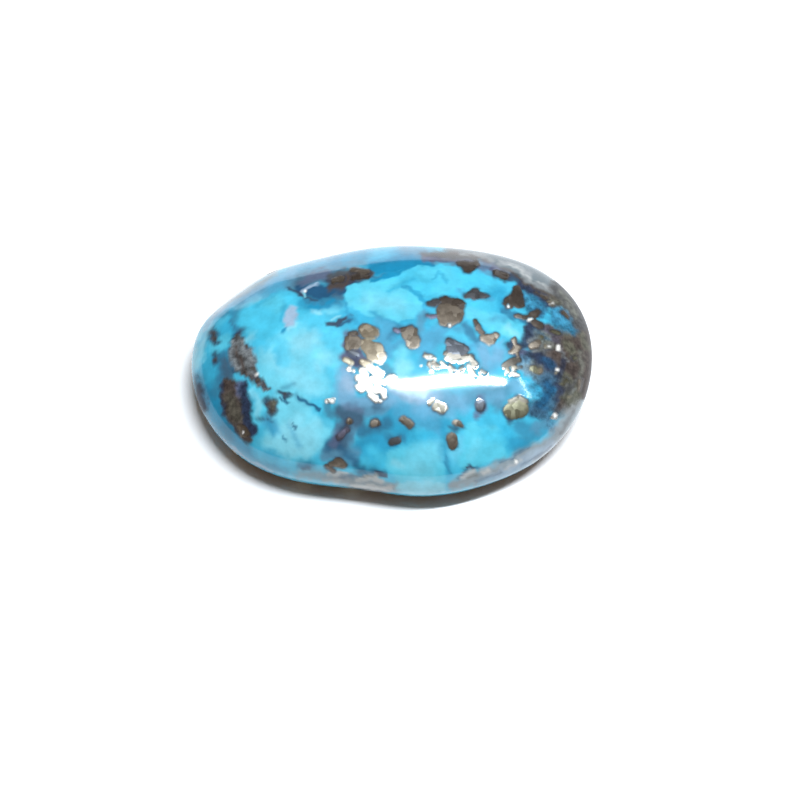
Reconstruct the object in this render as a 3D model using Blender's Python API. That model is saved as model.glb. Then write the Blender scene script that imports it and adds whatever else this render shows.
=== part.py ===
"""A polished turquoise stone, in one piece: a low dome over a rounded girdle and a ground flat back.

X runs along the stone, Y across it and Z up. The stone lies on its flat back, and the origin is on
that back, under the middle of the stone's own box. Lengths are in millimetres up to the last step.
"""

import bisect
import math

import bmesh
import bpy
from mathutils import Vector

MM = 0.001

# The girdle is the stone's widest line. Seen from above it is an uneven oval, blunt at one end and
# cut away behind the other: its reach from the middle, at even bearings from +X towards +Y.
GIRDLE_REACH = (
    9.73,
    9.90,
    8.93,
    7.70,
    7.27,
    7.42,
    8.38,
    10.05,
    10.54,
    9.82,
    8.47,
    7.16,
    7.05,
    7.50,
    8.22,
    9.13,
)

# The section from the middle of the top, over the girdle, to the flat back. Each row is the skin's tilt
# in degrees, from 0 on top through 90 at the girdle to 180 at the back, and its bending radius there.
SECTION_BENDS = (
    (0, 12.0),
    (20, 10.0),
    (40, 6.0),
    (60, 2.6),
    (75, 1.8),
    (122, 1.7),
    (150, 1.5),
    (180, 1.5),
)
SECTION_STEPS = 720

# Behind the narrow end the dome was ground to a flatter facet. Its plane has this outward normal
# and distance from the girdle's middle, and the skin bends into it over the rounding's length.
FACET_NORMAL = Vector((-0.57, 0.61, 0.55)).normalized()
FACET_DISTANCE = 7.68
FACET_ROUNDING = 0.3

# A cutter's wheel leaves long, shallow waves in a hand-held stone: height, and length along X and Y.
WAVE_HEIGHT = 0.04
WAVE_LENGTH_X = 9.0
WAVE_LENGTH_Y = 6.5

CUBE_FACES_PER_SIDE = 28


def girdle_reach(bearing):
    """The girdle's distance from the middle, on the smoothest wave that meets every value."""
    count = len(GIRDLE_REACH)
    reach = 0.0
    for wave in range(count // 2 + 1):
        share = (1 if wave in (0, count // 2) else 2) / count
        for i, value in enumerate(GIRDLE_REACH):
            reach += share * value * math.cos(wave * (bearing - i * math.tau / count))
    return reach


def eased_floor(value, rounding):
    """The larger of value and 0, with the corner between the two rounded off."""
    if value <= -rounding:
        return 0.0
    if value >= rounding:
        return value
    return (value + rounding) ** 2 / (4 * rounding)


def bending_radius(tilt):
    """The section's bending radius at a tilt in degrees, between the rows of the table."""
    for (tilt_before, radius_before), (tilt_after, radius_after) in zip(SECTION_BENDS, SECTION_BENDS[1:]):
        if tilt <= tilt_after:
            share = (tilt - tilt_before) / (tilt_after - tilt_before)
            return radius_before * (radius_after / radius_before) ** share
    return SECTION_BENDS[-1][1]


def section():
    """The section as rows of length along the skin, reach as a share, and height above the girdle."""
    rows = [(0.0, 0.0, 0.0)]
    step = math.pi / SECTION_STEPS
    for i in range(SECTION_STEPS):
        tilt = (i + 0.5) * step
        run = bending_radius(math.degrees(tilt)) * step
        length, reach, height = rows[-1]
        rows.append((length + run, reach + run * math.cos(tilt), height - run * math.sin(tilt)))
    length, reach, height = rows[-1]
    rows.append((length + reach, 0.0, height))
    widest = max(rows, key=lambda row: row[1])
    return [(length, reach / widest[1], height - widest[2]) for length, reach, height in rows]


SECTION = section()
SECTION_LENGTHS = [row[0] for row in SECTION]


def on_section(share):
    """The reach, as a share of the girdle's, and the height at a share of the way down the section."""
    length = share * SECTION_LENGTHS[-1]
    after = min(max(bisect.bisect_left(SECTION_LENGTHS, length), 1), len(SECTION) - 1)
    length_before, reach_before, height_before = SECTION[after - 1]
    length_after, reach_after, height_after = SECTION[after]
    along = (length - length_before) / (length_after - length_before)
    reach = reach_before + along * (reach_after - reach_before)
    return reach, height_before + along * (height_after - height_before)


def on_skin(direction):
    """The point of the stone's skin, in millimetres, that a point of the unit sphere becomes."""
    bearing = math.atan2(direction.y, direction.x)
    climb = math.asin(max(-1.0, min(1.0, direction.z)))
    reach, height = on_section(0.5 - climb / math.pi)
    reach *= girdle_reach(bearing)
    point = Vector((reach * math.cos(bearing), reach * math.sin(bearing), height))
    wave = math.sin(math.tau * point.x / WAVE_LENGTH_X) * math.cos(math.tau * point.y / WAVE_LENGTH_Y)
    point.z += WAVE_HEIGHT * wave * max(0.0, direction.z)
    past_facet = point.dot(FACET_NORMAL) - FACET_DISTANCE
    return point - FACET_NORMAL * eased_floor(past_facet, FACET_ROUNDING)


def stone_mesh():
    """A cube cut into small squares, each of its points moved out to the stone's skin."""
    bm = bmesh.new()
    bmesh.ops.create_cube(bm, size=2.0)
    bmesh.ops.subdivide_edges(bm, edges=bm.edges, cuts=CUBE_FACES_PER_SIDE - 1, use_grid_fill=True)
    quarter = math.pi / 4
    for vert in bm.verts:
        evened = Vector([math.tan(side * quarter) for side in vert.co])
        vert.co = on_skin(evened.normalized())
    low = Vector([min(vert.co[axis] for vert in bm.verts) for axis in range(3)])
    high = Vector([max(vert.co[axis] for vert in bm.verts) for axis in range(3)])
    middle = (low + high) / 2
    bmesh.ops.translate(bm, verts=bm.verts, vec=(-middle.x, -middle.y, -low.z))
    bmesh.ops.scale(bm, verts=bm.verts, vec=(MM, MM, MM))
    bmesh.ops.recalc_face_normals(bm, faces=bm.faces)
    mesh = bpy.data.meshes.new("turquoise_nugget")
    bm.to_mesh(mesh)
    bm.free()
    mesh.shade_smooth()
    return mesh


def polished_turquoise():
    """Polished turquoise: sky blue, not metallic, with the gloss that a wheel gives it."""
    material = bpy.data.materials.new("polished_turquoise")
    material.use_nodes = True
    shader = material.node_tree.nodes["Principled BSDF"]
    shader.inputs["Base Color"].default_value = (0.09, 0.55, 0.72, 1.0)
    shader.inputs["Metallic"].default_value = 0.0
    shader.inputs["Roughness"].default_value = 0.15
    shader.inputs["IOR"].default_value = 1.62
    return material


def build():
    for obj in list(bpy.data.objects):
        bpy.data.objects.remove(obj)
    mesh = stone_mesh()
    mesh.materials.append(polished_turquoise())
    stone = bpy.data.objects.new("turquoise_nugget", mesh)
    bpy.context.scene.collection.objects.link(stone)


build()
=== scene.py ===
"""The looks of a polished turquoise stone with pyrite in it, lying on a white table."""

import math
import random

import bmesh
import bpy
import numpy as np
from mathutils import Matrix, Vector, noise
from mathutils.bvhtree import BVHTree


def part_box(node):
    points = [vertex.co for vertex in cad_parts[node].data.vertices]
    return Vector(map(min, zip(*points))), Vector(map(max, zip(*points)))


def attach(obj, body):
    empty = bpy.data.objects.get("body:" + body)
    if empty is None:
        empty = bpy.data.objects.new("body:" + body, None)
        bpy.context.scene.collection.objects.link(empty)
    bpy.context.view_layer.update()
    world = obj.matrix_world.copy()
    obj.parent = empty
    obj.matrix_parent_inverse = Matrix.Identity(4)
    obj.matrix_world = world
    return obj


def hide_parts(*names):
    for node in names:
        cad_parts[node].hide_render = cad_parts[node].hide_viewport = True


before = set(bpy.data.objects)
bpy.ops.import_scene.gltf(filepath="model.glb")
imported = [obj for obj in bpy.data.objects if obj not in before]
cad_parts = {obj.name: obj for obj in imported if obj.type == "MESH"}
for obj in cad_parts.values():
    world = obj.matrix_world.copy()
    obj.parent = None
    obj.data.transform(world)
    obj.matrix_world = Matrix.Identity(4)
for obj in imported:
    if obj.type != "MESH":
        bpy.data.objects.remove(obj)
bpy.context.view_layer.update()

# The camera. The stone was photographed close up through a long lens, from the front and well above
# the table. A place on the stone is given below by its pixel in that picture, so the camera comes first.
MM = 0.001
PHOTO_SIDE = 800
PIXELS_PER_MM = 20.0
LENS_MM = 150.0
SENSOR_MM = 36.0
CAMERA_CLIMB = math.radians(58)
CAMERA_DISTANCE = 167 * MM
CAMERA_AIM = Vector((0.41, -2.35, 2.5)) * MM
NEAREST_SEEN = 1 * MM
FARTHEST_SEEN = 10

camera_right = Vector((1, 0, 0))
camera_back = Vector((0, -math.cos(CAMERA_CLIMB), math.sin(CAMERA_CLIMB)))
camera_up = camera_back.cross(camera_right)
camera_place = CAMERA_AIM + CAMERA_DISTANCE * camera_back

camera = bpy.data.objects.new("camera", bpy.data.cameras.new("camera"))
camera.data.lens = LENS_MM
camera.data.sensor_width = SENSOR_MM
camera.data.clip_start = NEAREST_SEEN
camera.data.clip_end = FARTHEST_SEEN
camera.location = camera_place
camera.rotation_euler = (math.pi / 2 - CAMERA_CLIMB, 0, 0)
bpy.context.scene.collection.objects.link(camera)
bpy.context.scene.camera = camera


# The stone's body. The real stone was ground to this form by hand on a wheel and polished, so its skin
# runs smooth and slightly wavy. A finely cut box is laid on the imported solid, its facets are eased away,
# and the little that the easing takes off is given back.
SQUARES_ALONG = (200, 150, 40)
WELD_DISTANCE = 0.001 * MM
EASING_ROUNDS = 30
EASING_SHARE = 0.5

solid = bpy.data.objects["turquoise_nugget"]
form = bmesh.new()
form.from_mesh(solid.data)
bmesh.ops.remove_doubles(form, verts=form.verts, dist=WELD_DISTANCE)
form_tree = BVHTree.FromBMesh(form)
form.free()
low, high = (Vector(corner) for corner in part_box("turquoise_nugget"))
heart = (low + high) / 2
half_size = (high - low) / 2

body = bmesh.new()
bmesh.ops.create_cube(body, size=2.0)
for axis, squares in enumerate(SQUARES_ALONG):
    along = [edge for edge in body.edges if abs(edge.verts[0].co[axis] - edge.verts[1].co[axis]) > 1]
    bmesh.ops.subdivide_edges(body, edges=along, cuts=squares - 1)
for vert in body.verts:
    way_out = Vector([math.tan(side * math.pi / 4) * reach for side, reach in zip(vert.co, half_size)])
    vert.co = form_tree.ray_cast(heart, way_out.normalized())[0]
all_axes = {"use_axis_x": True, "use_axis_y": True, "use_axis_z": True}
for _ in range(EASING_ROUNDS):
    bmesh.ops.smooth_vert(body, verts=body.verts, factor=EASING_SHARE, **all_axes)
eased_low = Vector([min(vert.co[axis] for vert in body.verts) for axis in range(3)])
eased_high = Vector([max(vert.co[axis] for vert in body.verts) for axis in range(3)])
for vert in body.verts:
    for axis in range(3):
        share = (vert.co[axis] - eased_low[axis]) / (eased_high[axis] - eased_low[axis])
        vert.co[axis] = low[axis] + share * (high[axis] - low[axis])
bmesh.ops.recalc_face_normals(body, faces=body.faces)
body.normal_update()

places = np.array([vert.co for vert in body.verts]) / MM
facings = np.array([vert.normal for vert in body.verts])


# The colour in the stone. Turquoise is clouded: pale chalky places, clear sky blue, and deeper blue to
# indigo where the host rock shows through. It grew that way, in clouds with soft and ragged edges.
def linear(hex_colour):
    """An sRGB hex colour as linear red, green and blue."""
    shares = [int(hex_colour[i:i + 2], 16) / 255 for i in (1, 3, 5)]
    return np.array([c / 12.92 if c <= 0.04045 else ((c + 0.055) / 1.055) ** 2.4 for c in shares])


CHALK_BLUE = linear("#7CC3D4")
PALE_SKY = linear("#66BDD1")
BRIGHT_SKY = linear("#4FB4CB")
CLEAN_SKY = linear("#42B1CE")
SKY = linear("#3CA6C4")
CLEAR_SKY = linear("#2F9DBF")
CLEAR_BLUE = linear("#268AAD")
DEEP_BLUE = linear("#057BA2")
STEEL_SKY = linear("#4291B2")
MILK_BLUE = linear("#6598B6")
GREY_BLUE = linear("#4C7D97")
SEA_BLUE = linear("#2B6A88")
SLATE_BLUE = linear("#38566C")
INDIGO = linear("#194A6B")
NAVY = linear("#2A3449")
DUSK_VIOLET = linear("#565C76")
LAVENDER = linear("#8FA6BC")
HAZE_AND_GLARE_WHITE = linear("#B4D6E8")
ROCK_GREY = linear("#474849")
ROCK_BROWN = linear("#463D39")
ROCK_OLIVE = linear("#56564A")
ROCK_PALE = linear("#666860")
ROCK_ASH = linear("#7B8184")
# This pale white is partly pale rock and partly painted reflection of the white table along the rim.
WHITE_ROCK_AND_REFLECTION = linear("#A3A7A6")

# The noise starts from a fixed seed, so each run clouds the stone in the same way. The offsets keep
# the noise of one use apart from that of the next.
NOISE_SEED = 4
SHIFT_OFFSETS = (17.3, 5.9, 11.1)
NUMBER_OFFSETS = (13.7, 7.1, 3.3)

noise.seed_set(NOISE_SEED)


def wandering(points, size, seed):
    """A smooth random shift for each point, up to about 1 long, that changes over a length of size."""
    offset = Vector([seed * step for step in SHIFT_OFFSETS])
    return np.array([noise.noise_vector(Vector(point) / size + offset) for point in points])


def wavering(points, size, seed):
    """A smooth random number for each point, from about -1 to 1, that changes over a length of size."""
    offset = Vector([seed * step for step in NUMBER_OFFSETS])
    return np.array([noise.noise(Vector(point) / size + offset) for point in points])


def in_picture(points):
    """Where the camera sees points of the stone, given in mm, as pixels across and down the picture."""
    sight = points * MM - np.array(camera_place)
    pixel = -(sight @ np.array(camera_back)) * SENSOR_MM / LENS_MM / PHOTO_SIDE
    across = sight @ np.array(camera_right) / pixel
    up = sight @ np.array(camera_up) / pixel
    return np.column_stack([PHOTO_SIDE / 2 + across, PHOTO_SIDE / 2 - up])


def depth_in_chain(points, beads):
    """How far each point lies inside a row of touching beads, each a place and a radius."""
    depth = np.full(len(points), -np.inf)
    pairs = list(zip(beads, beads[1:])) or [(beads[0], beads[0])]
    for (start, start_radius), (end, end_radius) in pairs:
        run = end - start
        along = np.clip((points - start) @ run / (run @ run or 1), 0, 1)
        gap = np.linalg.norm(points - start - along[:, None] * run, axis=1)
        depth = np.maximum(depth, start_radius + along * (end_radius - start_radius) - gap)
    return depth


def depth_in_discs(points, discs):
    """How far in mm each point of the picture lies inside a row of discs: x, y and radius in pixels."""
    beads = [(np.array((x, y)), radius) for x, y, radius in discs]
    return depth_in_chain(points, beads) / PIXELS_PER_MM


def cover(depth, softness):
    """Share covered, from 0 outside to 1 inside, over an edge as wide as the softness in mm."""
    share = np.clip(depth / softness + 0.5, 0, 1)
    return share * share * (3 - 2 * share)


# The clouds' edges wander by these lengths in mm. Past the rim, out of the camera's sight, the clouds
# fade away and wander ever more.
CLOUD_WANDER = 0.14
CLOUD_WANDER_SIZE = 1.2
CLOUD_FRAY = 0.13
CLOUD_FRAY_SIZE = 0.3
HIDDEN_WANDER = 2.2
HIDDEN_WANDER_SIZE = 1.6
SEEN_FADE = 0.6

sight_lines = np.array(camera_place) / MM - places
sight_lines /= np.linalg.norm(sight_lines, axis=1)[:, None]
facing_camera = (facings * sight_lines).sum(axis=1)
seen_share = np.clip(1 + facing_camera / SEEN_FADE, 0, 1)
cloud_places = places + CLOUD_WANDER * wandering(places, CLOUD_WANDER_SIZE, seed=1)
cloud_places += CLOUD_FRAY * wandering(places, CLOUD_FRAY_SIZE, seed=2)
cloud_places += HIDDEN_WANDER * (1 - seen_share[:, None]) * wandering(places, HIDDEN_WANDER_SIZE, seed=6)
clouds_in_picture = in_picture(cloud_places)
body_colour = np.tile(SKY, (len(places), 1))
dullness = np.zeros(len(places))


def tint(colour, share, dull=0.0):
    """Tints the stone with a colour, by a share for each point of its skin."""
    body_colour[:] = body_colour * (1 - share[:, None]) + colour * share[:, None]
    dullness[:] = dullness * (1 - share) + dull * share


def clouds(rows, dull=0.0):
    """Clouds the stone. A row is a colour, its edge's softness in mm, its strength, and discs."""
    for colour, softness, strength, *discs in rows:
        depth = depth_in_discs(clouds_in_picture, discs)
        tint(colour, strength * seen_share * cover(depth, softness), dull)


# The left end is clear to sea blue up to the brown seam, with a few paler islands.
LEFT_END = (
    (CLEAR_SKY, 0.9, 1.0, (208, 332, 18), (202, 362, 20), (226, 322, 16)),
    (SKY, 0.5, 0.8, (200, 345, 9), (198, 365, 8)),
    (BRIGHT_SKY, 0.4, 0.8, (216, 346, 7), (224, 342, 7)),
    (BRIGHT_SKY, 0.4, 0.6, (214, 324, 6), (226, 316, 5)),
    (STEEL_SKY, 0.5, 0.8, (208, 326, 5), (216, 318, 5), (224, 311, 5)),
    (CLEAR_SKY, 0.5, 0.9, (205, 372, 10), (216, 380, 10), (212, 366, 6)),
    (DEEP_BLUE, 0.6, 0.85, (206, 394, 9), (214, 408, 13), (226, 428, 12), (240, 446, 9), (252, 454, 5)),
    (SEA_BLUE, 0.5, 0.7, (216, 392, 7), (222, 382, 7), (230, 438, 5)),
    (SEA_BLUE, 0.4, 1.0, (224, 356, 5), (226, 370, 7), (222, 380, 5)),
    (SLATE_BLUE, 0.3, 0.9, (226, 362, 3.5), (228, 374, 4.5)),
    (CLEAR_BLUE, 0.3, 0.9, (243, 303, 2), (236, 313, 4), (234, 325, 4), (237, 334, 4)),
    (SEA_BLUE, 0.25, 0.9, (243, 303, 1.5), (237, 311, 3), (234, 322, 3), (236, 333, 3)),
    (SEA_BLUE, 0.25, 0.6, (222, 318, 2), (230, 312, 2.5)),
    (GREY_BLUE, 0.3, 0.4, (206, 334, 3), (204, 344, 3)),
    (NAVY, 0.15, 0.95, (237, 337, 2.5), (242, 331, 3), (246, 328, 2)),
    (PALE_SKY, 0.2, 0.9, (251, 334, 3), (256, 330, 2)),
    (CHALK_BLUE, 0.25, 0.7, (248, 342, 2.5), (252, 338, 3)),
    (CHALK_BLUE, 0.2, 0.6, (204, 352, 1.5), (203, 362, 1.5)),
    (CHALK_BLUE, 0.2, 0.6, (199, 338, 2), (205, 326, 2)),
    (LAVENDER, 0.25, 0.6, (222, 308, 3), (236, 299, 3), (252, 291, 3), (268, 284, 3)),
    (CHALK_BLUE, 0.25, 0.6, (197, 350, 2), (196, 366, 2), (212, 322, 2)),
)
clouds(LEFT_END)

# Right of the seam the stone is clean sky blue above and chalkier below, with cloudy pale places.
LEFT_FIELD = (
    (CLEAN_SKY, 0.8, 1.0, (252, 318, 14), (272, 308, 18), (300, 325, 20), (272, 335, 16)),
    (PALE_SKY, 0.9, 0.9, (272, 362, 16), (300, 352, 28), (322, 350, 20), (318, 378, 20), (280, 380, 14)),
    (CLEAN_SKY, 0.5, 0.8, (312, 318, 9), (330, 334, 9), (336, 348, 6)),
    (CHALK_BLUE, 0.7, 0.8, (299, 345, 10), (312, 338, 8)),
    (CHALK_BLUE, 0.6, 0.7, (322, 364, 7), (324, 358, 5)),
    (CHALK_BLUE, 0.8, 0.55, (300, 378, 9), (312, 388, 9), (268, 356, 6)),
    (CHALK_BLUE, 0.3, 0.8, (298, 347, 3), (301, 342, 3)),
    (PALE_SKY, 0.3, 0.8, (322, 362, 3), (325, 366, 3)),
    (CLEAN_SKY, 0.5, 0.8, (330, 372, 6), (336, 384, 5)),
    (CLEAN_SKY, 0.5, 0.7, (278, 345, 7), (284, 362, 6)),
    (SKY, 0.35, 0.7, (276, 352, 3), (278, 362, 2)),
    (SKY, 0.5, 0.7, (262, 342, 4), (266, 350, 3)),
    (BRIGHT_SKY, 0.4, 0.9, (256, 384, 6), (268, 398, 6), (258, 410, 6), (256, 420, 5)),
    (PALE_SKY, 0.5, 0.8, (262, 376, 6), (280, 384, 6)),
    (CHALK_BLUE, 0.25, 0.7, (252, 392, 2.5), (258, 400, 3), (256, 414, 2.5)),
    (PALE_SKY, 0.6, 1.0, (290, 412, 22), (300, 436, 24), (275, 444, 15), (318, 430, 13)),
    (CHALK_BLUE, 0.7, 0.75, (288, 430, 7), (308, 440, 11), (284, 448, 8)),
    (CHALK_BLUE, 0.6, 0.65, (300, 420, 6), (270, 443, 6), (318, 424, 5)),
    (CHALK_BLUE, 0.3, 0.6, (290, 450, 4), (306, 452, 5)),
    (SKY, 0.5, 0.7, (318, 406, 7), (326, 420, 5)),
    (STEEL_SKY, 0.5, 0.9, (266, 422, 6), (273, 430, 6)),
    (CLEAR_BLUE, 0.4, 0.6, (268, 424, 3.5), (272, 432, 3)),
    (STEEL_SKY, 0.35, 0.6, (290, 424, 2.5), (300, 446, 2)),
    (BRIGHT_SKY, 0.5, 0.7, (264, 300, 8), (276, 304, 8)),
    (CLEAR_BLUE, 0.35, 0.7, (268, 454, 4.5), (276, 457, 3.5)),
    (CLEAR_SKY, 0.4, 0.7, (258, 450, 5), (284, 459, 4)),
    (LAVENDER, 0.25, 1.0, (291, 313, 7), (289, 321, 6.5)),
    (CLEAR_BLUE, 0.3, 0.5, (283, 306, 3), (280, 318, 2)),
    (DEEP_BLUE, 0.15, 0.9, (282, 330, 2.5), (286, 328, 1.5)),
    (CHALK_BLUE, 0.2, 0.8, (289, 329, 2), (296, 324, 1.5)),
    (CHALK_BLUE, 0.2, 0.9, (312, 309, 2), (320, 312, 3), (322, 308, 1.5)),
    (PALE_SKY, 0.3, 0.8, (330, 310, 6), (336, 304, 5)),
    (CLEAR_SKY, 0.25, 0.6, (256, 306, 2), (268, 296, 2), (276, 293, 2)),
    (CHALK_BLUE, 0.35, 0.9, (238, 303, 4), (252, 298, 4), (266, 291, 4)),
)
clouds(LEFT_FIELD)

# Along the back, grey blue gives way to deep blue, with indigo and brown rock between them.
BACK = (
    (MILK_BLUE, 0.5, 0.9, (236, 301, 6), (252, 293, 6), (272, 283, 7), (292, 277, 7)),
    (ROCK_ASH, 0.3, 0.7, (212, 314, 2.5), (228, 300, 3), (250, 287, 3), (276, 272, 3)),
    (STEEL_SKY, 0.4, 0.8, (286, 284, 6), (276, 288, 5), (262, 295, 3)),
    (MILK_BLUE, 0.5, 0.8, (292, 270, 6), (312, 264, 6), (334, 258, 5)),
    (STEEL_SKY, 0.5, 1.0, (305, 270, 7), (322, 265, 7)),
    (DEEP_BLUE, 0.5, 0.8, (336, 261, 8), (352, 258, 9), (372, 254, 7)),
    (GREY_BLUE, 0.5, 0.95, (292, 283, 6), (304, 277, 6), (322, 272, 6), (340, 267, 5)),
    (GREY_BLUE, 0.4, 0.7, (352, 264, 4), (366, 264, 3)),
    (SLATE_BLUE, 0.5, 0.9, (300, 284, 6), (318, 279, 6), (336, 275, 6), (352, 272, 5)),
    (DUSK_VIOLET, 0.4, 0.7, (310, 278, 5), (326, 273, 5), (300, 286, 3)),
    (CLEAR_SKY, 0.5, 1.0, (378, 256, 10), (400, 252, 9), (416, 252, 7)),
    (DEEP_BLUE, 0.4, 1.0, (374, 268, 7), (392, 267, 8), (408, 261, 8), (424, 258, 7)),
    (DEEP_BLUE, 0.5, 0.7, (398, 256, 7), (418, 254, 6)),
    (CLEAR_BLUE, 0.4, 0.9, (302, 303, 6), (322, 303, 6), (338, 303, 5)),
    (SEA_BLUE, 0.25, 0.8, (306, 299, 3), (322, 301, 3.5), (336, 301, 3)),
    (DEEP_BLUE, 0.2, 0.7, (310, 304, 2), (326, 306, 2), (334, 300, 2.5)),
    (INDIGO, 0.25, 1.0, (298, 289, 3), (308, 291, 5.5), (322, 292, 6.5), (337, 291, 6.5), (352, 286, 5)),
    (INDIGO, 0.3, 0.9, (352, 284, 5), (364, 282, 4), (374, 279, 3)),
    (SEA_BLUE, 0.2, 0.9, (374, 279, 2.5), (384, 276, 2.5)),
    (NAVY, 0.3, 0.95, (330, 282, 5), (342, 282, 6.5), (350, 279, 6)),
    (ROCK_BROWN, 0.3, 0.9, (330, 288, 3.5), (340, 286, 5), (345, 281, 5)),
    (ROCK_GREY, 0.4, 0.8, (332, 277, 4), (344, 274, 5), (352, 274, 5)),
    (ROCK_BROWN, 0.25, 0.95, (350, 277, 4), (360, 275, 5), (368, 275, 5)),
    (NAVY, 0.15, 0.9, (288, 288, 1.5), (294, 291, 2), (300, 294, 2)),
    (NAVY, 0.12, 0.8, (300, 294, 1.5), (308, 298, 1.5), (318, 299, 1.2)),
    (LAVENDER, 0.12, 0.9, (302, 291, 1.5), (306, 289, 1.2), (318, 285, 1)),
    (CHALK_BLUE, 0.12, 0.9, (303, 293, 1.2), (305, 296, 1)),
    (SLATE_BLUE, 0.2, 0.7, (336, 296, 3), (342, 298, 2.5)),
    (LAVENDER, 0.4, 0.6, (222, 310, 3), (212, 318, 3), (204, 328, 2)),
)
clouds(BACK)

# Bright clean patches fill the middle and the back of the top, some with a crisp edge.
PATCHES = (
    (CLEAR_SKY, 0.4, 1.0, (350, 318, 9), (365, 322, 9), (390, 330, 12), (420, 322, 9)),
    (CLEAN_SKY, 0.18, 1.0, (384, 286, 9), (404, 281, 13), (430, 279, 15), (460, 283, 14), (488, 290, 10)),
    (SKY, 0.4, 0.9, (472, 278, 9), (494, 286, 9), (506, 292, 8), (500, 303, 8)),
    (CLEAN_SKY, 0.35, 0.9, (440, 270, 7), (460, 276, 7), (488, 282, 5)),
    (BRIGHT_SKY, 0.12, 1.0, (356, 296, 12), (376, 300, 18), (398, 304, 18), (411, 307, 13)),
    (BRIGHT_SKY, 0.2, 0.8, (364, 288, 7), (380, 284, 6), (396, 284, 5)),
    (BRIGHT_SKY, 0.5, 0.7, (424, 272, 5), (446, 274, 7)),
    (BRIGHT_SKY, 0.5, 0.6, (440, 290, 6), (456, 284, 5)),
    (PALE_SKY, 0.7, 0.5, (368, 298, 8), (394, 300, 9)),
    (CHALK_BLUE, 0.9, 0.3, (372, 300, 6), (400, 306, 7)),
    (CLEAR_SKY, 0.3, 0.9, (430, 304, 5), (422, 320, 5), (430, 330, 5)),
    (CLEAR_SKY, 0.3, 0.8, (388, 290, 2), (402, 284, 2.5), (414, 280, 2)),
    (CLEAR_BLUE, 0.15, 0.9, (400, 287, 1.2), (412, 289, 2), (420, 295, 2.5), (426, 303, 3)),
    (CLEAR_BLUE, 0.2, 0.6, (432, 278, 2), (438, 274, 2), (446, 282, 1.5)),
    (
        DEEP_BLUE, 0.12, 0.95,
        (372, 281, 1.5), (388, 275, 2.2), (402, 270, 2.2), (416, 264, 2.2), (432, 263, 1.6),
    ),
    (CLEAR_BLUE, 0.25, 0.8, (372, 312, 2.5), (383, 320, 3), (396, 326, 3)),
    (CLEAR_BLUE, 0.4, 0.8, (490, 297, 5), (502, 291, 5), (500, 312, 4)),
    (STEEL_SKY, 0.3, 0.8, (460, 290, 3), (464, 294, 2.5), (490, 300, 3)),
    (BRIGHT_SKY, 0.25, 1.0, (472, 311, 7), (490, 321, 8), (508, 327, 9.5), (518, 332, 8)),
    (PALE_SKY, 0.4, 0.8, (506, 328, 5), (517, 334, 5)),
    (CHALK_BLUE, 0.25, 0.7, (508, 326, 3), (516, 332, 3)),
    (CLEAN_SKY, 0.3, 0.9, (470, 299, 6), (484, 306, 6)),
    (STEEL_SKY, 0.3, 0.7, (494, 318, 2.5), (506, 318, 2.5)),
    (SEA_BLUE, 0.2, 0.9, (502, 311, 3), (514, 316, 4), (524, 321, 3)),
)
clouds(PATCHES)

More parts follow.
